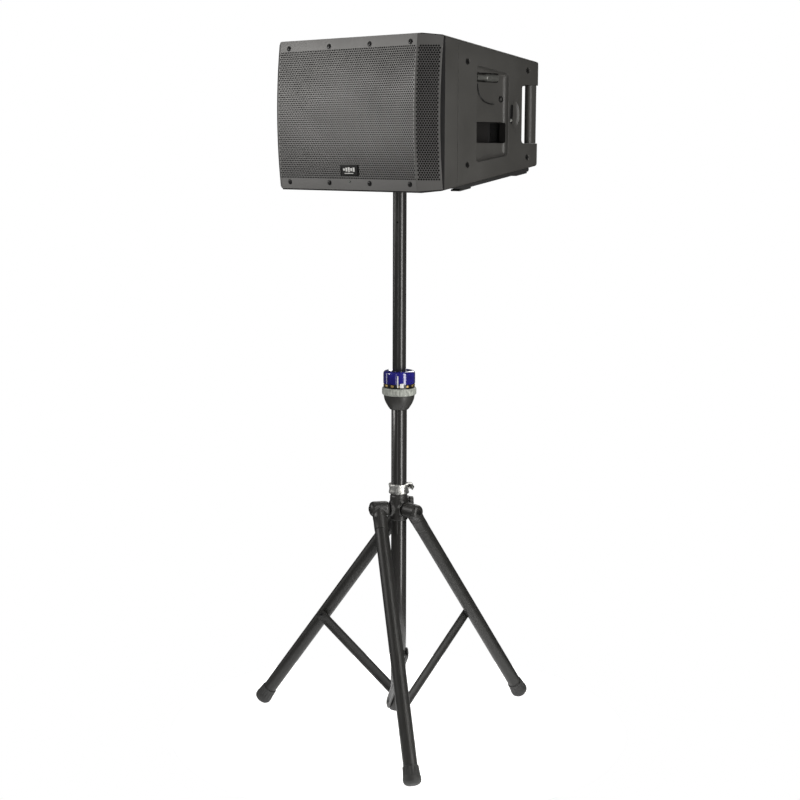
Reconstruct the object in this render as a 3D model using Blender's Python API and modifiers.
"""PA speaker: a wedge-shaped loudspeaker cabinet on a folding tripod stand.

Metres, +Z up. The cabinet's grille faces -Y and the floor is z = 0. Everything is laid out
around the mast, and stand_axis then moves it so that the origin is the middle of the footprint.
"""

import math

import bmesh
import bpy
from mathutils import Matrix, Vector

GAP = 0.0003  # between pieces that touch
ROUND_STEPS = 28

# Tripod: three legs that hang pinwheel-wise from the hub, with a brace beside each.
LEG_COUNT = 3
DATUM_HEIGHT = 0.008  # of the plane that all heights here are counted from, above the floor
FIRST_LEG_TURN = math.radians(54.96)  # from -Y towards +X
HUB_HEIGHT = 0.586
LEG_SPREAD = 0.4029  # from the mast to a foot, along the leg's own plane
FOOT_HEIGHT = 0.020
LEG_OFFSET = 0.0531  # of the leg's plane from the mast
LEG_RADIUS = 0.0173
LEG_WALL = 0.0018
BRACE_SHARE = 0.5644  # of the leg's length, where the brace meets it
BRACE_OFFSET = 0.0275
BRACE_WIDTH = 0.020
BRACE_THICKNESS = 0.004
BRACE_FOOT_HEIGHT = 0.0552
AXLE_RADIUS = 0.008
ARM_RADIUS = 0.019
ARM_START = 0.030
ARM_END = 0.080
SOCKET_RADIUS = 0.0195
SOCKET_LENGTH = 0.060
TUBE_START = 0.0245
BOOT_RADIUS = 0.0222
BOOT_RIM_RADIUS = 0.0200
BOOT_LENGTH = 0.046
BOOT_ROUND = 0.012
BOOT_FLOOR = 0.010  # rubber under the tube's end, along the leg
SOLE_CUT = 0.002  # how far the floor cuts into the round of the boot
EYE_RADIUS = 0.0125  # of the brace's end at the leg

# Mast.
LOWER_RADIUS = 0.0202
LOWER_BORE = 0.0182
LOWER_BOTTOM = 0.042
LOWER_TOP = 0.8830
UPPER_RADIUS = 0.0175
UPPER_BORE = 0.0155
UPPER_BOTTOM = 0.530
RUNNING_GAP = 0.0005
FOOT_HUB_RADIUS = 0.0246
FOOT_HUB_BOTTOM = 0.038
FOOT_HUB_TOP = 0.092
HUB_RADIUS = 0.0233
HUB_BOTTOM = 0.556
HUB_TOP = 0.620
CLAMP_TOP = 0.652
CLAMP_RADIUS = 0.0270
CLAMP_LUG = (0.016, 0.014, 0.016)
CLAMP_LUG_OUT = 0.028
CLAMP_BOLT_HEIGHT = 0.645
CLAMP_BOLT_OUT = 0.0312  # of the bolt's line from the mast
CLAMP_BOLT_START = 0.0085  # of its head, along that line
KNOB_HEIGHT = 0.607
CONE_BOTTOM = 0.848
CONE_RADIUS = 0.040
RING_BOTTOM = 0.882
CAP_BOTTOM = 0.906
CAP_TOP = 0.950
CAP_RADIUS = 0.0412
RING_RADIUS = 0.0445
COLLET_TOP = 0.925
COLLET_RADIUS = 0.030

# Cabinet: a wedge that is lower at the back, with a front that bows out between top and bottom.
CABINET_MIDDLE = 1.596  # height of its middle line
FRONT_Y = -0.1902  # of the grille's folds, at their top and bottom ends
BACK_Y = 0.2065
FRONT_HALF_HEIGHT = 0.1839
BACK_TOP = 0.1314
FRONT_BOTTOM = 0.1865  # the underside hangs a little lower than the grille at the front
BACK_BOTTOM = 0.1231
HALF_WIDTH = 0.27905
FOLD_X = 0.23275
SEAM_DEPTH = 0.0394  # from the fold back to the seam with the shell
BOW = 0.0116
GRILLE_THICKNESS = 0.0015
SEAM_GAP = 0.0018
WALL = 0.015
LIP_WALL = 0.012
EDGE_ROUND = 0.006

# Side pockets, handles and rear bay.
RECESS_DEPTH = 0.012
RECESS_FRONT_Y = -0.031
RECESS_BACK_Y = 0.086
RECESS_FRONT_HALF = 0.113
RECESS_BACK_HALF = 0.097
POCKET_DEPTH = 0.055
POCKET_Y = (-0.0305, 0.0855)
POCKET_Z = (-0.068, -0.018)
PIN_BAY_DEPTH = 0.026
PIN_BAY_Y = (-0.030, 0.060)
PIN_BAY_Z = (0.076, 0.098)
PIN_RADIUS = 0.009
PIN_Y = (-0.020, 0.058)
NOTCH_FRONT_Y = 0.140
NOTCH_Z = (-0.068, 0.074)
NOTCH_INNER_X = 0.205
BAR_SECTION = (0.0225, 0.030)
BAR_CENTRE = (0.26725, 0.1885)
RAIL_X = 0.2515
RAIL_Y = (-0.115, 0.177)
RAIL_WIDTH = 0.045
RAIL_HEIGHT = 0.0084
FRONT_PAD_Y = (-0.113, -0.050)
REAR_PAD_Y = (0.104, 0.168)
PAD_WIDTH = 0.038
PAD_HEIGHT = 0.0045
BAY_HALF = (0.197, 0.104)
BAY_DEPTH = 0.0215
OPENING_HALF = (0.180, 0.088)
PANEL_THICKNESS = 0.003
CAVITY_BACK_Y = 0.165
ROCKER_TILT = 8  # degrees, either way from its middle
JACK_Z = -0.052
KNOB_Z = -0.012
CHANNEL_X = (-0.020, 0.025, 0.070)
INLET_X = (-0.160, -0.110)
INLET_Z = (-0.066, -0.034)
SWITCH_AT = (-0.080, -0.050)
CHASSIS_HALF = (0.165, 0.080)
CHASSIS_DEPTH = 0.060
CHASSIS_SHEET = 0.002
FIN_COUNT = 13
FIN_HALF_SPAN = 0.165
FIN_MIDDLE_Z = 0.052

# Drivers.
BAFFLE_Y = (-0.148, -0.133)
BAFFLE_Z = (-0.1620, 0.1608)
WOOFER_X = -0.075
WOOFER_CUT = 0.141
HORN_X = 0.165
HORN_HALF = (0.073, 0.143)
HORN_DEPTH = 0.070

# Pole socket under the cabinet.
SOCKET_BOSS_RADIUS = 0.042
SOCKET_FACE = -0.172  # height below the cabinet's middle line
SOCKET_OUTER = 0.028
SOCKET_TOP = -0.088
UPPER_TOP = CABINET_MIDDLE - 0.096

SLOPE = (FRONT_HALF_HEIGHT - BACK_TOP) / (BACK_Y - FRONT_Y)
BOTTOM_SLOPE = (FRONT_BOTTOM - BACK_BOTTOM) / (BACK_Y - FRONT_Y)
BOTTOM_ANGLE = math.atan(BOTTOM_SLOPE)
BOW_RADIUS = FRONT_HALF_HEIGHT**2 / (2 * BOW) + BOW / 2
LEG_LENGTH = math.hypot(LEG_SPREAD, HUB_HEIGHT - FOOT_HEIGHT)
LEG_TILT = math.atan2(LEG_SPREAD, HUB_HEIGHT - FOOT_HEIGHT)
# The boot's end, along the leg: the round of its inner edge goes SOLE_CUT below the floor.
BOOT_END = BOOT_ROUND + (
    HUB_HEIGHT + DATUM_HEIGHT + SOLE_CUT - BOOT_ROUND - (BOOT_RADIUS - BOOT_ROUND) * math.sin(LEG_TILT)
) / math.cos(LEG_TILT)


def half_height(y):
    """Height of the cabinet's top above its middle line, at depth y."""
    return FRONT_HALF_HEIGHT - SLOPE * (y - FRONT_Y)


def bottom_depth(y):
    """Depth of the cabinet's underside below its middle line, at depth y."""
    return FRONT_BOTTOM - BOTTOM_SLOPE * (y - FRONT_Y)


def bow(z):
    """How far the front stands forward at height z from the middle line."""
    return math.sqrt(BOW_RADIUS**2 - z**2) - (BOW_RADIUS - BOW)


def start_scene():
    for thing in list(bpy.data.objects):
        bpy.data.objects.remove(thing, do_unlink=True)
    collections = []
    for name in ("pa_speaker", "cutters"):
        group = bpy.data.collections.new(name)
        bpy.context.scene.collection.children.link(group)
        collections.append(group)
    return collections


PARTS, CUTTERS = start_scene()


def empty(name, location=(0, 0, 0), rotation=(0, 0, 0), parent=None):
    guide = bpy.data.objects.new(name, None)
    guide.location = location
    guide.rotation_euler = rotation
    guide.parent = parent
    PARTS.objects.link(guide)
    return guide


AXIS = empty("stand_axis")
CABINET = empty("cabinet_axis", (0, 0, CABINET_MIDDLE), parent=AXIS)


def paint(thing, colour, roughness, metallic=0.0):
    material = bpy.data.materials.new(thing.name)
    material.use_nodes = True
    shader = material.node_tree.nodes["Principled BSDF"]
    shader.inputs["Base Color"].default_value = (*colour, 1)
    shader.inputs["Roughness"].default_value = roughness
    shader.inputs["Metallic"].default_value = metallic
    thing.data.materials.clear()
    thing.data.materials.append(material)
    for face in thing.data.polygons:
        face.material_index = 0


BLACK_PAINT = ((0.035, 0.035, 0.034), 0.42, 0.3)
BLACK_PLASTIC = ((0.03, 0.03, 0.03), 0.5, 0.0)
CABINET_GREY = ((0.045, 0.044, 0.042), 0.55, 0.0)
GRILLE_GREY = ((0.09, 0.09, 0.088), 0.45, 0.4)
RUBBER = ((0.02, 0.02, 0.02), 0.8, 0.0)
SILVER = ((0.6, 0.6, 0.58), 0.3, 1.0)
BRASS = ((0.7, 0.5, 0.2), 0.35, 1.0)
BLUE = ((0.03, 0.03, 0.4), 0.2, 0.0)
RING_GREY = ((0.28, 0.3, 0.28), 0.5, 0.2)
PAPER = ((0.04, 0.04, 0.04), 0.85, 0.0)
WHITE = ((0.8, 0.8, 0.78), 0.4, 0.0)
GREEN_LENS = ((0.1, 0.5, 0.15), 0.2, 0.0)


def add(name, mesh, look, parent, location=(0, 0, 0), rotation=(0, 0, 0)):
    """A sub-part, or a cutter when look is None."""
    thing = bpy.data.objects.new(name, mesh)
    thing.location = location
    thing.rotation_euler = rotation
    thing.parent = parent
    if look is None:
        CUTTERS.objects.link(thing)
        thing.hide_render = True
        thing.display_type = "WIRE"
    else:
        PARTS.objects.link(thing)
        paint(thing, *look)
    return thing


def mesh_from(name, model):
    mesh = bpy.data.meshes.new(name)
    model.to_mesh(mesh)
    model.free()
    return mesh


def smooth(thing, angle=35):
    thing.data.shade_smooth()
    thing.data.set_sharp_from_angle(angle=math.radians(angle))
    return thing


def box(name, size, look, parent, location=(0, 0, 0), rotation=(0, 0, 0), edge=0.0):
    model = bmesh.new()
    bmesh.ops.create_cube(model, size=1)
    bmesh.ops.scale(model, vec=size, verts=model.verts)
    thing = add(name, mesh_from(name, model), look, parent, location, rotation)
    if edge:
        round_edges(thing, edge)
    return thing


def span_box(name, x, y, z, look, parent, edge=0.0):
    """A box given by its two limits along each axis."""
    size = [high - low for low, high in (x, y, z)]
    middle = [(low + high) / 2 for low, high in (x, y, z)]
    return box(name, size, look, parent, middle, edge=edge)


def rod(name, radius, length, look, parent, location=(0, 0, 0), rotation=(0, 0, 0), steps=ROUND_STEPS):
    """A cylinder along its own Z that starts at its origin."""
    model = bmesh.new()
    lift = Matrix.Translation((0, 0, length / 2))
    bmesh.ops.create_cone(
        model, cap_ends=True, segments=steps, radius1=radius, radius2=radius, depth=length, matrix=lift
    )
    return smooth(add(name, mesh_from(name, model), look, parent, location, rotation))


def turned(name, profile, look, parent, location=(0, 0, 0), rotation=(0, 0, 0), steps=ROUND_STEPS, ring=True):
    """A profile of (radius, height) points, top to bottom down its outer side, around Z.

    With ring, the last point joins the first."""
    count = len(profile)
    points = [(radius, 0, height) for radius, height in profile]
    edges = [(i, (i + 1) % count) for i in range(count if ring else count - 1)]
    mesh = bpy.data.meshes.new(name)
    mesh.from_pydata(points, edges, [])
    thing = add(name, mesh, look, parent, location, rotation)
    spin = thing.modifiers.new("Spin", "SCREW")
    spin.axis = "Z"
    spin.angle = 2 * math.pi
    spin.steps = steps
    spin.render_steps = steps
    spin.use_merge_vertices = True
    spin.merge_threshold = 0.00001
    spin.use_smooth_shade = True
    return thing


def plate(name, outline, thickness, look, parent, location=(0, 0, 0), rotation=(0, 0, 0)):
    """A flat outline in its own XY, thickened evenly to both sides along Z."""
    curve = bpy.data.curves.new(name, "CURVE")
    curve.dimensions = "2D"
    curve.fill_mode = "BOTH"
    curve.extrude = thickness / 2
    spline = curve.splines.new("POLY")
    spline.points.add(len(outline) - 1)
    for point, (u, v) in zip(spline.points, outline, strict=True):
        point.co = (u, v, 0, 1)
    spline.use_cyclic_u = True
    guide = bpy.data.objects.new(name, curve)
    CUTTERS.objects.link(guide)
    mesh = as_mesh(guide)
    return add(name, mesh, look, parent, location, rotation)


def as_mesh(guide):
    """The welded mesh of a curve object, which goes."""
    name = guide.name
    bpy.context.view_layer.update()
    mesh = bpy.data.meshes.new_from_object(guide.evaluated_get(bpy.context.evaluated_depsgraph_get()))
    bpy.data.objects.remove(guide, do_unlink=True)
    model = bmesh.new()
    model.from_mesh(mesh)
    bmesh.ops.remove_doubles(model, verts=model.verts, dist=0.00001)
    bmesh.ops.dissolve_limit(model, angle_limit=0.002, verts=model.verts, edges=model.edges)
    bmesh.ops.recalc_face_normals(model, faces=model.faces)
    bpy.data.meshes.remove(mesh)
    return mesh_from(name, model)


def round_edges(thing, width, steps=3, angle=40):
    bevel = thing.modifiers.new("Round", "BEVEL")
    bevel.width = width
    bevel.segments = steps
    bevel.limit_method = "ANGLE"
    bevel.angle_limit = math.radians(angle)


def combine(thing, tool, how="DIFFERENCE"):
    boolean = thing.modifiers.new(how.title(), "BOOLEAN")
    boolean.operation = how
    boolean.solver = "EXACT"
    boolean.object = tool
    return thing


def join(thing, tool):
    return combine(thing, tool, "UNION")


# Rotations that turn a piece's own Z towards -Y, +Y and +X.
TO_FRONT = (math.pi / 2, 0, 0)
TO_BACK = (-math.pi / 2, 0, 0)
# A plate drawn as (y, z) and thickened along X.
SIDE_VIEW = (math.pi / 2, 0, math.pi / 2)


def profile_arc(offset, half, steps=12):
    """(y, z) points up the bowed front line moved back by offset, from -half to +half."""
    heights = [half * (2 * i / steps - 1) for i in range(steps + 1)]
    return [(FRONT_Y + offset - bow(z), z) for z in heights]


def build_shell():
    shell_front = 0.0026  # behind the grille's outer face
    top = half_height(FRONT_Y + shell_front)
    low = bottom_depth(FRONT_Y + shell_front)
    front = profile_arc(shell_front, top)
    front[0] = (FRONT_Y + shell_front - bow(low), -low)
    outline = [*front, (BACK_Y, BACK_TOP), (BACK_Y, -BACK_BOTTOM)]
    shell = plate("cabinet_shell", outline[::-1], 2 * HALF_WIDTH, CABINET_GREY, CABINET, rotation=SIDE_VIEW)
    round_edges(shell, EDGE_ROUND)
    join(shell, rod("boss", SOCKET_BOSS_RADIUS, 0.030, None, CABINET, (0, 0, SOCKET_FACE)))
    combine(shell, cavity())
    combine(shell, front_zone())
    for side in (-1, 1):
        combine(shell, corner_cut(side))
        for cutter in side_cutters(side):
            combine(shell, cutter)
    bay = span_box(
        "bay_cut",
        (-BAY_HALF[0], BAY_HALF[0]),
        (BACK_Y - BAY_DEPTH, BACK_Y + 0.02),
        (-BAY_HALF[1], BAY_HALF[1]),
        None,
        CABINET,
    )
    combine(shell, bay)
    opening = span_box(
        "opening_cut",
        (-OPENING_HALF[0], OPENING_HALF[0]),
        (CAVITY_BACK_Y - 0.02, BACK_Y),
        (-OPENING_HALF[1], OPENING_HALF[1]),
        None,
        CABINET,
    )
    combine(shell, opening)
    bore = rod("socket_cut", SOCKET_OUTER + 0.001, 0.2, None, CABINET, (0, 0, SOCKET_FACE - 0.02))
    combine(shell, bore)
    return shell


def cavity():
    """The room inside, less the housings around the hand pockets and the rear corners."""
    front_y = FRONT_Y - 0.05
    outline = [
        (front_y, half_height(front_y) - WALL),
        (CAVITY_BACK_Y, half_height(CAVITY_BACK_Y) - WALL),
        (CAVITY_BACK_Y, WALL - bottom_depth(CAVITY_BACK_Y)),
        (front_y, WALL - bottom_depth(front_y)),
    ]
    room = plate("cavity_cut", outline, 2 * (HALF_WIDTH - WALL), None, CABINET, rotation=SIDE_VIEW)
    wall = 0.004
    for side in (-1, 1):
        inner = HALF_WIDTH - POCKET_DEPTH - wall
        housing = span_box(
            f"housing_{side}",
            sorted((side * inner, side * (HALF_WIDTH + 0.02))),
            (POCKET_Y[0] - wall, POCKET_Y[1] + wall),
            (POCKET_Z[0] - wall, POCKET_Z[1] + wall),
            None,
            CABINET,
        )
        combine(room, housing)
        pin_house = span_box(
            f"pin_house_{side}",
            sorted((side * (HALF_WIDTH - PIN_BAY_DEPTH - wall), side * (HALF_WIDTH + 0.02))),
            (PIN_BAY_Y[0] - wall, PIN_BAY_Y[1] + wall),
            (PIN_BAY_Z[0] - wall, PIN_BAY_Z[1] + wall),
            None,
            CABINET,
        )
        combine(room, pin_house)
        corner = span_box(
            f"corner_house_{side}",
            sorted((side * (NOTCH_INNER_X - WALL), side * (HALF_WIDTH + 0.02))),
            (NOTCH_FRONT_Y - WALL, BACK_Y + 0.02),
            (-0.25, 0.25),
            None,
            CABINET,
        )
        combine(room, corner)
    return room


def front_zone():
    """Clears everything but the top and bottom lips in front of the seam, across the whole width."""
    seam = SEAM_DEPTH + SEAM_GAP
    clear = half_height(FRONT_Y + seam) - LIP_WALL
    arc = profile_arc(seam, clear)
    outline = [*arc, (FRONT_Y - 0.05, clear), (FRONT_Y - 0.05, -clear)]
    return plate("front_zone_cut", outline, 2 * HALF_WIDTH + 0.04, None, CABINET, rotation=SIDE_VIEW)


def wing_angle():
    return math.atan2(SEAM_DEPTH, HALF_WIDTH - FOLD_X)


def corner_cut(side):
    """Takes the shell's front corners off along the grille's folded wings."""
    reach = 0.12
    cutter = box("corner_cut", (reach * 2, reach, 0.5), None, CABINET)
    angle = wing_angle()
    middle_x = (HALF_WIDTH + FOLD_X) / 2
    middle_y = FRONT_Y + SEAM_DEPTH / 2
    outward = reach / 2 - 0.0030
    cutter.location = (
        side * (middle_x + math.sin(angle) * outward),
        middle_y - math.cos(angle) * outward,
        0,
    )
    cutter.rotation_euler = (0, 0, side * angle)
    return cutter


def side_cutters(side):
    """Recess, hand pocket, pin bay, lifting-point dish and rear grip notch on one side."""
    outer = HALF_WIDTH + 0.01
    outline = [
        (RECESS_FRONT_Y, RECESS_FRONT_HALF),
        (RECESS_BACK_Y, RECESS_BACK_HALF),
        (RECESS_BACK_Y, -RECESS_BACK_HALF),
        (RECESS_FRONT_Y, -RECESS_FRONT_HALF),
    ]
    middle = side * (outer + HALF_WIDTH - RECESS_DEPTH) / 2
    recess = plate(
        f"recess_cut_{side}", outline, 0.01 + RECESS_DEPTH, None, CABINET, (middle, 0, 0), SIDE_VIEW
    )
    pocket = span_box(
        f"pocket_cut_{side}",
        sorted((side * (HALF_WIDTH - POCKET_DEPTH), side * outer)),
        POCKET_Y,
        POCKET_Z,
        None,
        CABINET,
    )
    pin_bay = span_box(
        f"pin_bay_cut_{side}",
        sorted((side * (HALF_WIDTH - PIN_BAY_DEPTH), side * outer)),
        PIN_BAY_Y,
        PIN_BAY_Z,
        None,
        CABINET,
    )
    notch = span_box(
        f"notch_cut_{side}",
        sorted((side * NOTCH_INNER_X, side * (outer + 0.02))),
        (NOTCH_FRONT_Y, BACK_Y + 0.02),
        NOTCH_Z,
        None,
        CABINET,
        edge=0.006,
    )
    return recess, pocket, pin_bay, notch


def build_grille():
    """The folded sheet: flat in the middle, wings at both sides, bowed from top to bottom."""
    fold = 0.006
    stations = [0.0, FOLD_X - fold, FOLD_X, FOLD_X + fold, HALF_WIDTH - GAP]
    columns = [-x for x in stations[:0:-1]] + stations
    rows = 14
    model = bmesh.new()
    bmesh.ops.create_grid(model, x_segments=len(columns) - 1, y_segments=rows, size=1)
    for vertex in model.verts:
        x = columns[round((vertex.co.x + 1) / 2 * (len(columns) - 1))]
        back = wing(abs(x), fold)
        z = vertex.co.y * (FRONT_HALF_HEIGHT - SLOPE * back)
        vertex.co = (x, FRONT_Y + back - bow(z), z)
    grille = smooth(add("front_grille", mesh_from("front_grille", model), GRILLE_GREY, CABINET))
    sheet = grille.modifiers.new("Sheet", "SOLIDIFY")
    sheet.thickness = GRILLE_THICKNESS
    sheet.offset = -1
    return grille


def wing(x, fold):
    """How far back the sheet lies at x, with the fold's corner eased."""
    rise = SEAM_DEPTH / (HALF_WIDTH - FOLD_X)
    if x <= FOLD_X - fold:
        return 0.0
    if x <= FOLD_X:
        return rise * (x - FOLD_X + fold) ** 2 / (4 * fold)
    return max(rise * (x - FOLD_X), rise * fold / 4)


def on_grille(x, z, lift):
    """Location and rotation for a piece whose own Z points out of the grille's face at (x, z)."""
    tilt = math.asin(z / BOW_RADIUS)
    normal = Vector((0, -math.cos(tilt), math.sin(tilt)))
    place = Vector((x, FRONT_Y - bow(z), z)) + normal * lift
    return tuple(place), (math.pi / 2 - tilt, 0, 0)


def build_front():
    build_grille()
    place, turn = on_grille(0.0145, -0.1345, GAP + 0.00125)
    box("badge_plate", (0.060, 0.0275, 0.0025), WHITE, CABINET, place, turn, edge=0.0008)
    place, turn = on_grille(0.013, -0.162, GAP)
    dome = [(0, 0.0014), (0.0014, 0.0012), (0.0022, 0.0006), (0.0024, 0), (0, 0)]
    turned("status_led", dome, GREEN_LENS, CABINET, place, turn, steps=16, ring=False)


def build_baffle():
    edge = HALF_WIDTH - WALL - GAP
    baffle = span_box("front_baffle", (-edge, edge), BAFFLE_Y, BAFFLE_Z, PAPER, CABINET)
    hole = rod("woofer_cut", WOOFER_CUT, 0.1, None, CABINET, (WOOFER_X, BAFFLE_Y[0] + 0.05, 0), TO_FRONT)
    combine(baffle, hole)
    throat = box(
        "horn_cut",
        (2 * HORN_HALF[0] - 0.018, 0.1, 2 * HORN_HALF[1] - 0.018),
        None,
        CABINET,
        (HORN_X, BAFFLE_Y[0], 0),
    )
    combine(baffle, throat)


def build_woofer():
    """Turned about the driver's axis, with its own Z out of the front and 0 at the baffle's face."""
    place = (WOOFER_X, BAFFLE_Y[0], 0)
    basket = [(0.155, 0.0043), (0.155, GAP), (0.139, GAP), (0.139, -0.020), (0.075, -0.085)]
    basket += [(0.050, -0.085), (0.050, -0.080), (0.070, -0.080), (0.134, -0.016), (0.134, 0.0043)]
    turned("woofer_basket", basket, BLACK_PLASTIC, CABINET, place, TO_FRONT)
    roll = [(0.1122, 0.001), (0.117, 0.006), (0.1225, 0.008), (0.128, 0.006), (0.1337, 0.001)]
    roll += [(0.1337, -0.003), (0.128, 0.003), (0.1225, 0.005), (0.117, 0.003), (0.1122, -0.003)]
    turned("woofer_surround", roll, RUBBER, CABINET, place, TO_FRONT)
    cone = [(0.1117, 0.0005), (0.1117, -0.002), (0.032, -0.057), (0.032, -0.068)]
    cone += [(0.030, -0.068), (0.030, -0.054)]
    turned("woofer_cone", cone, PAPER, CABINET, place, TO_FRONT)
    dome = [(0, -0.034), (0.012, -0.035), (0.024, -0.040), (0.034, -0.0495), (0.031, -0.0515), (0, -0.037)]
    turned("dust_cap", dome, PAPER, CABINET, place, TO_FRONT, steps=24, ring=False)
    magnet = [(0, -0.0853), (0.085, -0.0853), (0.085, -0.128), (0, -0.128)]
    turned("woofer_magnet", magnet, BLACK_PAINT, CABINET, place, TO_FRONT, steps=32, ring=False)


def build_horn():
    """A flared mouth with a flange on the baffle, and its driver behind."""
    flange = 0.003
    horn = box(
        "horn_waveguide",
        (2 * HORN_HALF[0], flange, 2 * HORN_HALF[1]),
        BLACK_PLASTIC,
        CABINET,
        (HORN_X, BAFFLE_Y[0] - GAP - flange / 2, 0),
    )
    body = box(
        "horn_body",
        (2 * HORN_HALF[0] - 0.020, HORN_DEPTH, 2 * HORN_HALF[1] - 0.020),
        None,
        CABINET,
        (HORN_X, BAFFLE_Y[0] + HORN_DEPTH / 2 - 0.002, 0),
    )
    join(horn, body)
    model = bmesh.new()
    mouth = 2 * (HORN_HALF[0] - 0.013) / math.sqrt(2)
    bmesh.ops.create_cone(
        model,
        cap_ends=True,
        segments=4,
        radius1=0.018,
        radius2=mouth,
        depth=HORN_DEPTH + 0.02,
        matrix=Matrix.Rotation(math.pi / 4, 4, "Z"),
    )
    tall = (HORN_HALF[1] - 0.013) / (HORN_HALF[0] - 0.013)
    bmesh.ops.scale(model, vec=(1, tall, 1), verts=model.verts)
    flare = add("flare_cut", mesh_from("flare_cut", model), None, CABINET)
    flare.location = (HORN_X, BAFFLE_Y[0] + HORN_DEPTH / 2 - 0.004, 0)
    flare.rotation_euler = TO_FRONT
    combine(horn, flare)
    back = BAFFLE_Y[0] + HORN_DEPTH - 0.002 + GAP
    place = (HORN_X, back + 0.058, 0)
    rod("compression_driver", 0.044, 0.058, BLACK_PAINT, CABINET, place, TO_FRONT, steps=28)


def build_rear():
    """Amplifier panel and what is on it, all inside the bay."""
    face = BACK_Y - BAY_DEPTH + GAP
    span_box(
        "amp_panel",
        (GAP * 2 - BAY_HALF[0], BAY_HALF[0] - GAP * 2),
        (face, face + PANEL_THICKNESS),
        (GAP * 2 - BAY_HALF[1], BAY_HALF[1] - GAP * 2),
        BLACK_PAINT,
        CABINET,
    )
    build_chassis(face - GAP)
    front = face + PANEL_THICKNESS + GAP
    heat_sink(front)
    depth = (front, front + 0.010)
    inlet = span_box("power_inlet", INLET_X, depth, INLET_Z, BLACK_PLASTIC, CABINET, edge=0.002)
    socket_x = (INLET_X[0] + 0.010, INLET_X[1] - 0.010)
    socket_z = (INLET_Z[0] + 0.006, INLET_Z[1] - 0.006)
    combine(inlet, span_box("inlet_cut", socket_x, (front + 0.002, front + 0.02), socket_z, None, CABINET))
    shell = [(0.0125, 0.008), (0.0145, 0.006), (0.0145, 0), (0, 0), (0, 0.002)]
    shell += [(0.009, 0.002), (0.009, 0.008)]
    for name, x in zip(("input_jack_1", "input_jack_2", "link_jack"), CHANNEL_X, strict=True):
        turned(name, shell, BLACK_PLASTIC, CABINET, (x, front, JACK_Z), TO_BACK, steps=24)
    knob = [(0, 0.0125), (0.0062, 0.0125), (0.007, 0.0115), (0.0085, 0.0005), (0, 0.0005)]
    for name, x in zip(("gain_knob_1", "gain_knob_2"), CHANNEL_X[:2], strict=True):
        turned(name, knob, BLACK_PLASTIC, CABINET, (x, front, KNOB_Z), TO_BACK, steps=24, ring=False)
    rocker = [(0.0018, 0.0), (0.0030, 0.0085), (0.0075, 0.0085), (0.0062, 0.0)]
    rocker += [(0.0075, -0.0085), (0.0030, -0.0085)]
    middle = 0.0045
    tilt = math.radians(ROCKER_TILT)
    outline = [
        (
            (y - middle) * math.cos(tilt) - z * math.sin(tilt),
            (y - middle) * math.sin(tilt) + z * math.cos(tilt),
        )
        for y, z in rocker
    ]
    place = (SWITCH_AT[0], front + middle, SWITCH_AT[1])
    plate("power_switch", outline, 0.012, BLACK_PLASTIC, CABINET, place, SIDE_VIEW)


def build_chassis(front):
    """A sheet tray behind the panel, open towards it."""
    half_x, half_z = CHASSIS_HALF
    back = front - CHASSIS_DEPTH
    tray = span_box("amp_chassis", (-half_x, half_x), (back, front), (-half_z, half_z), SILVER, CABINET)
    inner_x = half_x - CHASSIS_SHEET
    inner_z = half_z - CHASSIS_SHEET
    hollow = span_box(
        "chassis_cut",
        (-inner_x, inner_x),
        (back + CHASSIS_SHEET, front + 0.01),
        (-inner_z, inner_z),
        None,
        CABINET,
    )
    combine(tray, hollow)


def heat_sink(front):
    """A comb of upright fins on one base."""
    half = FIN_HALF_SPAN
    pitch = 2 * half / (FIN_COUNT - 1)
    fin, base, tall = 0.0018, 0.003, 0.014
    outline = [(-half - fin, 0)]
    for i in range(FIN_COUNT):
        x = i * pitch - half
        outline += [(x - fin, base), (x - fin, tall), (x + fin, tall), (x + fin, base)]
    outline += [(half + fin, 0)]
    plate("heat_sink", outline, 0.070, SILVER, CABINET, (0, front, FIN_MIDDLE_Z))


def build_sides():
    for side, name in ((1, "right"), (-1, "left")):
        bar_low, bar_high = NOTCH_Z[0] + GAP, NOTCH_Z[1] - GAP
        width, depth = BAR_SECTION
        span_box(
            f"handle_bar_{name}",
            sorted((side * (BAR_CENTRE[0] - width / 2), side * (BAR_CENTRE[0] + width / 2))),
            (BAR_CENTRE[1] - depth / 2, BAR_CENTRE[1] + depth / 2),
            (bar_low, bar_high),
            CABINET_GREY,
            CABINET,
        )
        round_upright_edges(PARTS.objects[f"handle_bar_{name}"], 0.007)
        pin_x = side * (HALF_WIDTH - PIN_BAY_DEPTH / 2)
        pin_z = (PIN_BAY_Z[0] + PIN_BAY_Z[1]) / 2
        length = PIN_Y[1] - PIN_Y[0]
        pin = [(0, length), (PIN_RADIUS - 0.002, length), (PIN_RADIUS, length - 0.002),
               (PIN_RADIUS, length * 0.45), (PIN_RADIUS * 0.8, length * 0.42), (PIN_RADIUS * 0.8, 0.001),
               (PIN_RADIUS * 0.8 - 0.001, 0), (0, 0)]
        place = (pin_x, PIN_Y[0], pin_z)
        turned(f"lock_pin_{name}", pin, SILVER, CABINET, place, TO_BACK, steps=20, ring=False)
        build_lanyard(name, side)
        build_skids(name, side)


def build_skids(name, side):
    """A rail along the underside with a rubber pad under each end."""
    rail = under(f"skid_rail_{name}", side, RAIL_Y, RAIL_WIDTH, GAP, RAIL_HEIGHT)
    round_edges(rail, 0.0025)
    for end, limits in (("front", FRONT_PAD_Y), ("rear", REAR_PAD_Y)):
        pad = under(f"skid_{end}_{name}", side, limits, PAD_WIDTH, RAIL_HEIGHT + 2 * GAP, PAD_HEIGHT)
        round_edges(pad, 0.0018)


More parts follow.
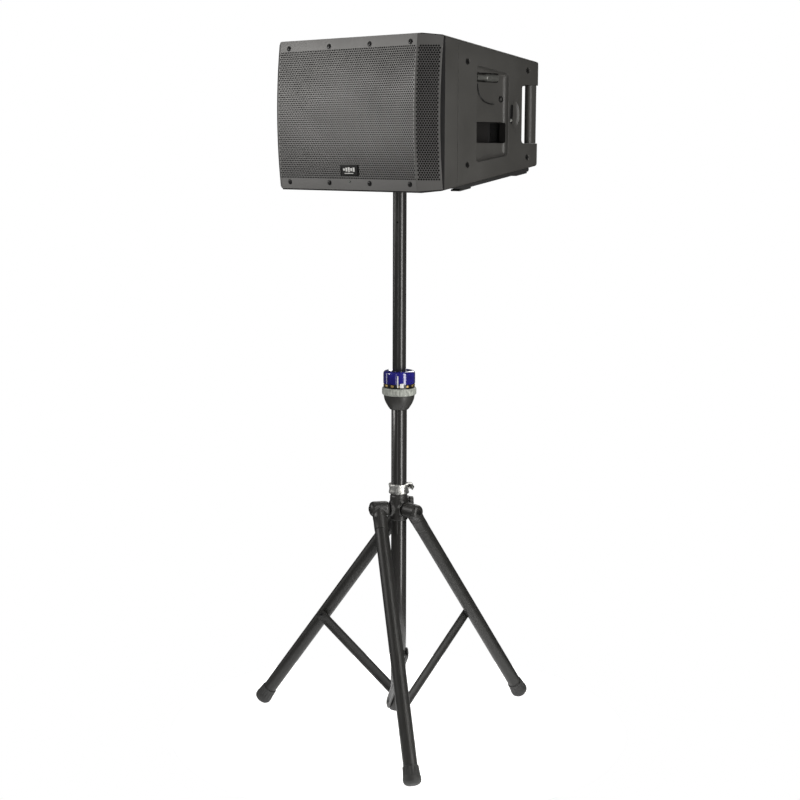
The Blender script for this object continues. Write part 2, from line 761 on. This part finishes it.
def under(name, side, limits, width, start, tall):
    """A bar that lies along the sloping underside, from start to start + tall away from it."""
    middle = sum(limits) / 2
    away = start + tall / 2
    place = (
        side * RAIL_X,
        middle + math.sin(BOTTOM_ANGLE) * away,
        -bottom_depth(middle) - math.cos(BOTTOM_ANGLE) * away,
    )
    length = (limits[1] - limits[0]) / math.cos(BOTTOM_ANGLE)
    return box(name, (width, length, tall), RUBBER, CABINET, place, (BOTTOM_ANGLE, 0, 0))


def round_upright_edges(thing, width):
    """Bevels only the edges along Z."""
    bevel = thing.modifiers.new("Round", "BEVEL")
    bevel.width = width
    bevel.segments = 3
    bevel.limit_method = "WEIGHT"
    model = bmesh.new()
    model.from_mesh(thing.data)
    weight = model.edges.layers.float.new("bevel_weight_edge")
    for edge in model.edges:
        along = edge.verts[0].co - edge.verts[1].co
        edge[weight] = 1.0 if abs(along.z) > 0.9 * along.length else 0.0
    model.to_mesh(thing.data)
    model.free()


def build_lanyard(name, side):
    """A wire hung between its eye by the pin and a rivet in the recess floor."""
    thickness = 0.0024
    x = side * (HALF_WIDTH - RECESS_DEPTH + thickness)
    route = [(-0.0175, 0.0715), (-0.017, 0.062), (-0.013, 0.050), (-0.004, 0.038), (0.009, 0.030),
             (0.022, 0.0262), (0.034, 0.0250), (0.043, 0.0248)]
    points = smooth_route(route, 22)
    curve = bpy.data.curves.new(f"lanyard_{name}", "CURVE")
    curve.dimensions = "3D"
    curve.bevel_depth = thickness / 2
    curve.bevel_resolution = 2
    curve.use_fill_caps = True
    spline = curve.splines.new("POLY")
    spline.points.add(len(points) - 1)
    for point, (y, z) in zip(spline.points, points, strict=True):
        point.co = (x, y, z, 1)
    guide = bpy.data.objects.new(f"lanyard_{name}", curve)
    CUTTERS.objects.link(guide)
    mesh = as_mesh(guide)
    smooth(add(f"lanyard_{name}", mesh, RUBBER, CABINET))


def smooth_route(route, count):
    """Points evenly along the Catmull-Rom curve through route."""
    ends = [route[0], *route, route[-1]]
    fine = []
    for a, b, c, d in zip(ends, ends[1:], ends[2:], ends[3:], strict=False):
        for step in range(10):
            t = step / 10
            weights = (
                -0.5 * t + t * t - 0.5 * t**3,
                1 - 2.5 * t * t + 1.5 * t**3,
                0.5 * t + 2 * t * t - 1.5 * t**3,
                -0.5 * t * t + 0.5 * t**3,
            )
            pulls = list(zip(weights, (a, b, c, d), strict=True))
            fine.append(tuple(sum(w * p[i] for w, p in pulls) for i in (0, 1)))
    fine.append(route[-1])
    lengths = [0.0]
    for before, after in zip(fine, fine[1:], strict=False):
        lengths.append(lengths[-1] + math.dist(before, after))
    picked = []
    for i in range(count):
        wanted = lengths[-1] * i / (count - 1)
        index = min(range(len(lengths)), key=lambda k: abs(lengths[k] - wanted))
        picked.append(fine[index])
    return picked


def build_pole_socket():
    lip = 0.004
    bore = UPPER_RADIUS + RUNNING_GAP
    base = SOCKET_FACE - GAP
    inside = UPPER_TOP - CABINET_MIDDLE + GAP
    profile = [
        (0, SOCKET_TOP), (SOCKET_OUTER, SOCKET_TOP), (SOCKET_OUTER, base), (SOCKET_BOSS_RADIUS - 0.002, base),
        (SOCKET_BOSS_RADIUS - 0.002, base - lip), (bore, base - lip), (bore, inside), (0, inside),
    ]
    turned("pole_socket", profile, BLACK_PAINT, CABINET, ring=False)


def tube(name, radius, bore, bottom, top, look, parent, location=(0, 0, 0), rotation=(0, 0, 0)):
    profile = [(radius, top), (radius, bottom), (bore, bottom), (bore, top)]
    return turned(name, profile, look, parent, location, rotation)


def build_mast():
    tube("upper_tube", UPPER_RADIUS, UPPER_BORE, UPPER_BOTTOM, UPPER_TOP, BLACK_PAINT, AXIS)
    tube("lower_tube", LOWER_RADIUS, LOWER_BORE, LOWER_BOTTOM, LOWER_TOP, BLACK_PAINT, AXIS)
    fit = LOWER_RADIUS + GAP
    rise = RING_BOTTOM - GAP
    swell = []
    for share in [i / 6 for i in range(6, -1, -1)]:
        radius = fit + (CONE_RADIUS - fit) * math.sin(math.pi / 2 * (0.08 + 0.92 * share))
        swell.append((radius, CONE_BOTTOM + (rise - CONE_BOTTOM) * share))
    turned("collar_cone", [*swell, (fit, CONE_BOTTOM), (fit, rise)], BLACK_PLASTIC, AXIS)
    ring = [
        (RING_RADIUS - 0.001, CAP_BOTTOM - GAP),
        (RING_RADIUS, CAP_BOTTOM - 0.003),
        (RING_RADIUS, RING_BOTTOM + 0.005),
        (RING_RADIUS - 0.003, RING_BOTTOM), (COLLET_RADIUS + 0.003, RING_BOTTOM),
        (COLLET_RADIUS + 0.003, CAP_BOTTOM - GAP),
    ]
    turned("collar_ring", ring, RING_GREY, AXIS)
    hole = UPPER_RADIUS + 0.0006
    roof = CAP_TOP - 0.005
    cap = [
        (CAP_RADIUS - 0.005, CAP_TOP), (CAP_RADIUS - 0.0015, CAP_TOP - 0.0015), (CAP_RADIUS, CAP_TOP - 0.005),
        (CAP_RADIUS, CAP_BOTTOM), (CAP_RADIUS - 0.004, CAP_BOTTOM), (CAP_RADIUS - 0.004, roof), (hole, roof),
        (hole, CAP_TOP),
    ]
    turned("collar_cap", cap, BLUE, AXIS)
    bore = UPPER_RADIUS + RUNNING_GAP
    tube("collet", COLLET_RADIUS, bore, LOWER_TOP + GAP, COLLET_TOP, BRASS, AXIS)


def leg_frame(index):
    """Turn about the mast of a leg's frame, whose X points out along the leg and Y along its hinge."""
    return FIRST_LEG_TURN + index * 2 * math.pi / LEG_COUNT - math.pi / 2


def build_hub():
    """Sliding hub with three arms. Each arm's axle lies along -Y of its leg's frame."""
    fit = LOWER_RADIUS + GAP
    hub = rod("leg_hub", HUB_RADIUS, HUB_TOP - HUB_BOTTOM, BLACK_PLASTIC, AXIS, (0, 0, HUB_BOTTOM))
    for index in range(LEG_COUNT):
        frame = empty(f"hub_arm_{index + 1}", (0, 0, HUB_HEIGHT), (0, 0, leg_frame(index)), AXIS)
        arm = rod(f"arm_{index + 1}", ARM_RADIUS, ARM_START - GAP, None, frame, rotation=TO_FRONT, steps=28)
        length = ARM_END - 0.010
        axle = rod(f"axle_{index + 1}", AXLE_RADIUS, length, None, frame, rotation=TO_FRONT, steps=20)
        join(hub, arm)
        join(hub, axle)
    combine(hub, rod("hub_bore", fit, 0.2, None, AXIS, (0, 0, HUB_BOTTOM - 0.05)))
    side = leg_frame(0)
    outward = Vector((-math.sin(side), math.cos(side), 0))
    knob_turn = (math.pi / 2, 0, side + math.pi)
    knob = [(0, 0.014), (0.0075, 0.014), (0.0090, 0.0125), (0.0090, 0.004), (0.0055, 0.002), (0.0055, 0),
            (0, 0)]
    place = outward * (HUB_RADIUS + 0.0008) + Vector((0, 0, KNOB_HEIGHT))
    turned("hub_knob", knob, BLACK_PLASTIC, AXIS, place, knob_turn, steps=20, ring=False)
    build_clamp(outward, side)


def build_clamp(outward, side):
    """The band above the hub that holds it on the tube, with its lugs and bolt on the knob's side."""
    fit = LOWER_RADIUS + GAP
    low, high = HUB_TOP + GAP, CLAMP_TOP
    band = rod("clamp_band", CLAMP_RADIUS, high - low, SILVER, AXIS, (0, 0, low))
    level = Vector((0, 0, CLAMP_BOLT_HEIGHT))
    join(band, box("clamp_lug", CLAMP_LUG, None, AXIS, outward * CLAMP_LUG_OUT + level, (0, 0, side)))
    combine(band, rod("clamp_bore", fit, 0.1, None, AXIS, (0, 0, low - 0.03)))
    along = Vector((math.cos(side), math.sin(side), 0))
    place = outward * CLAMP_BOLT_OUT + along * CLAMP_BOLT_START + level
    screw = [(0, 0.016), (0.0035, 0.016), (0.0055, 0.014), (0.0055, 0.002), (0.0035, 0), (0, 0)]
    turn = (0, math.pi / 2, side)
    wing_screw = turned("clamp_screw", screw, SILVER, AXIS, place, turn, steps=16, ring=False)
    combine_wing(wing_screw)


def combine_wing(wing_screw):
    """Two flat ears on the screw's head."""
    join(wing_screw, box("ears", (0.016, 0.0026, 0.006), None, wing_screw, (0, 0, 0.0115)))


def build_legs():
    for index in range(LEG_COUNT):
        number = index + 1
        turn = leg_frame(index)
        frame = empty(f"leg_axis_{number}", (0, 0, HUB_HEIGHT), (0, 0, turn), AXIS)
        build_leg(number, frame)
        build_brace(number, turn)


def build_leg(number, frame):
    """Elbow, tube and boot. The tube's own Z runs down the leg."""
    down = (0, math.pi - LEG_TILT, 0)
    start = (0, -LEG_OFFSET, 0)
    elbow = rod(f"leg_elbow_{number}", ARM_RADIUS, ARM_END - ARM_START, BLACK_PLASTIC, frame,
                (0, -ARM_START, 0), TO_FRONT, steps=28)
    socket = rod(f"socket_{number}", SOCKET_RADIUS, SOCKET_LENGTH, None, frame, start, down, steps=28)
    join(elbow, socket)
    axle_cut = rod(
        f"axle_cut_{number}",
        AXLE_RADIUS + 0.0004,
        ARM_END - 0.008,
        None,
        frame,
        rotation=TO_FRONT,
        steps=20,
    )
    combine(elbow, axle_cut)
    tube_cut = rod(f"tube_cut_{number}", LEG_RADIUS + GAP, 0.1, None, frame,
                   along_leg(TUBE_START - GAP), down, steps=28)
    combine(elbow, tube_cut)
    end = BOOT_END - BOOT_FLOOR
    tube(f"leg_tube_{number}", LEG_RADIUS, LEG_RADIUS - LEG_WALL, -end, -TUBE_START, BLACK_PAINT, frame,
         start, (0, -LEG_TILT, 0))
    build_boot(number, frame, end + GAP)


def build_boot(number, frame, floor_of_bore):
    """A rubber cap with a rounded end, cut flat where it stands."""
    rim = BOOT_END - BOOT_LENGTH
    widest = BOOT_END - BOOT_ROUND
    arc = [math.pi / 2 * i / 5 for i in range(6)]
    outer = [(BOOT_RIM_RADIUS, -rim), (BOOT_RADIUS, -widest + 0.008)]
    outer += [
        (BOOT_RADIUS - BOOT_ROUND + BOOT_ROUND * math.cos(t), -widest - BOOT_ROUND * math.sin(t)) for t in arc
    ]
    bore = LEG_RADIUS + GAP
    profile = [*outer, (0, -BOOT_END), (0, -floor_of_bore), (bore, -floor_of_bore), (bore, -rim)]
    boot = turned(f"foot_{number}", profile, RUBBER, frame, (0, -LEG_OFFSET, 0), (0, -LEG_TILT, 0), steps=28)
    floor = box(f"floor_cut_{number}", (0.2, 0.2, 0.1), None, frame)
    floor.location = (LEG_SPREAD, -LEG_OFFSET, -0.05 - HUB_HEIGHT - DATUM_HEIGHT)
    combine(boot, floor)


def along_leg(distance):
    """The point at this distance down the leg's centre line, in the leg's frame."""
    return (
        math.sin(LEG_TILT) * distance,
        -LEG_OFFSET,
        -math.cos(LEG_TILT) * distance,
    )


def build_brace(number, turn):
    """A flat link from the bottom of the mast to the leg. Its own X runs along it."""
    reach_x = BRACE_SHARE * LEG_SPREAD
    reach_z = HUB_HEIGHT - BRACE_SHARE * (HUB_HEIGHT - FOOT_HEIGHT) - BRACE_FOOT_HEIGHT
    length = math.hypot(reach_x, reach_z)
    angle = math.atan2(reach_z, reach_x)
    frame = empty(f"brace_axis_{number}", (0, 0, BRACE_FOOT_HEIGHT), (0, 0, turn), AXIS)
    half = BRACE_WIDTH / 2
    arc = [math.pi / 2 + math.pi * i / 8 for i in range(9)]
    outline = [(half * math.cos(t), half * math.sin(t)) for t in arc]
    outline += [(length - half * math.cos(t), -half * math.sin(t)) for t in arc]
    # Drawn in (X, Z) of the brace's frame and thickened along its Y.
    rotation = (Matrix.Rotation(-angle, 3, "Y") @ Matrix.Rotation(math.pi / 2, 3, "X")).to_euler()
    place = (0, -BRACE_OFFSET, 0)
    brace = plate(f"brace_{number}", outline, BRACE_THICKNESS, BLACK_PAINT, frame, place, rotation)
    stud = rod(f"stud_{number}", 0.007, LEG_OFFSET - LEG_RADIUS - 0.0006 - BRACE_OFFSET, None, frame,
               (reach_x, -BRACE_OFFSET, reach_z), TO_FRONT, steps=20)
    join(brace, stud)
    eye = rod(f"eye_{number}", EYE_RADIUS, BRACE_THICKNESS - 0.0004, None, frame,
              (reach_x, BRACE_THICKNESS / 2 - 0.0002 - BRACE_OFFSET, reach_z), TO_FRONT, steps=24)
    join(brace, eye)
    place = (0, -BRACE_OFFSET + 0.02, 0)
    hole = rod(f"pin_hole_{number}", 0.0054, 0.04, None, frame, place, TO_FRONT, steps=20)
    combine(brace, hole)


def build_foot_hub():
    """The cap on the tube's lower end, with a headed pin for each brace."""
    fit = LOWER_RADIUS + GAP
    hub = rod("foot_hub", FOOT_HUB_RADIUS, FOOT_HUB_TOP - FOOT_HUB_BOTTOM, BLACK_PLASTIC, AXIS,
              (0, 0, FOOT_HUB_BOTTOM))
    inner = BRACE_OFFSET - BRACE_THICKNESS / 2 - GAP
    outer = BRACE_OFFSET + BRACE_THICKNESS / 2 + GAP
    for index in range(LEG_COUNT):
        frame = empty(f"pin_frame_{index + 1}", (0, 0, BRACE_FOOT_HEIGHT), (0, 0, leg_frame(index)), AXIS)
        join(hub, rod(f"pad_{index + 1}", 0.011, inner, None, frame, rotation=TO_FRONT, steps=24))
        join(hub, rod(f"pin_{index + 1}", 0.005, outer + 0.001, None, frame, rotation=TO_FRONT, steps=20))
        join(hub, rod(f"head_{index + 1}", 0.008, 0.002, None, frame, (0, -outer, 0), TO_FRONT, steps=20))
    bore_start = LOWER_BOTTOM - GAP
    combine(hub, rod("foot_hub_bore", fit, 0.2, None, AXIS, (0, 0, bore_start)))


def centre_on_footprint():
    """Moves the whole object so that the origin is under the middle of its bounding box."""
    bpy.context.view_layer.update()
    graph = bpy.context.evaluated_depsgraph_get()
    corners = []
    for thing in PARTS.objects:
        if thing.type == "MESH":
            seen = thing.evaluated_get(graph)
            corners += [seen.matrix_world @ vertex.co for vertex in seen.data.vertices]
    middle = [(min(c[i] for c in corners) + max(c[i] for c in corners)) / 2 for i in (0, 1)]
    AXIS.location = (-middle[0], -middle[1], DATUM_HEIGHT)


build_shell()
build_front()
build_baffle()
build_woofer()
build_horn()
build_rear()
build_sides()
build_pole_socket()
build_mast()
build_hub()
build_legs()
build_foot_hub()
centre_on_footprint()
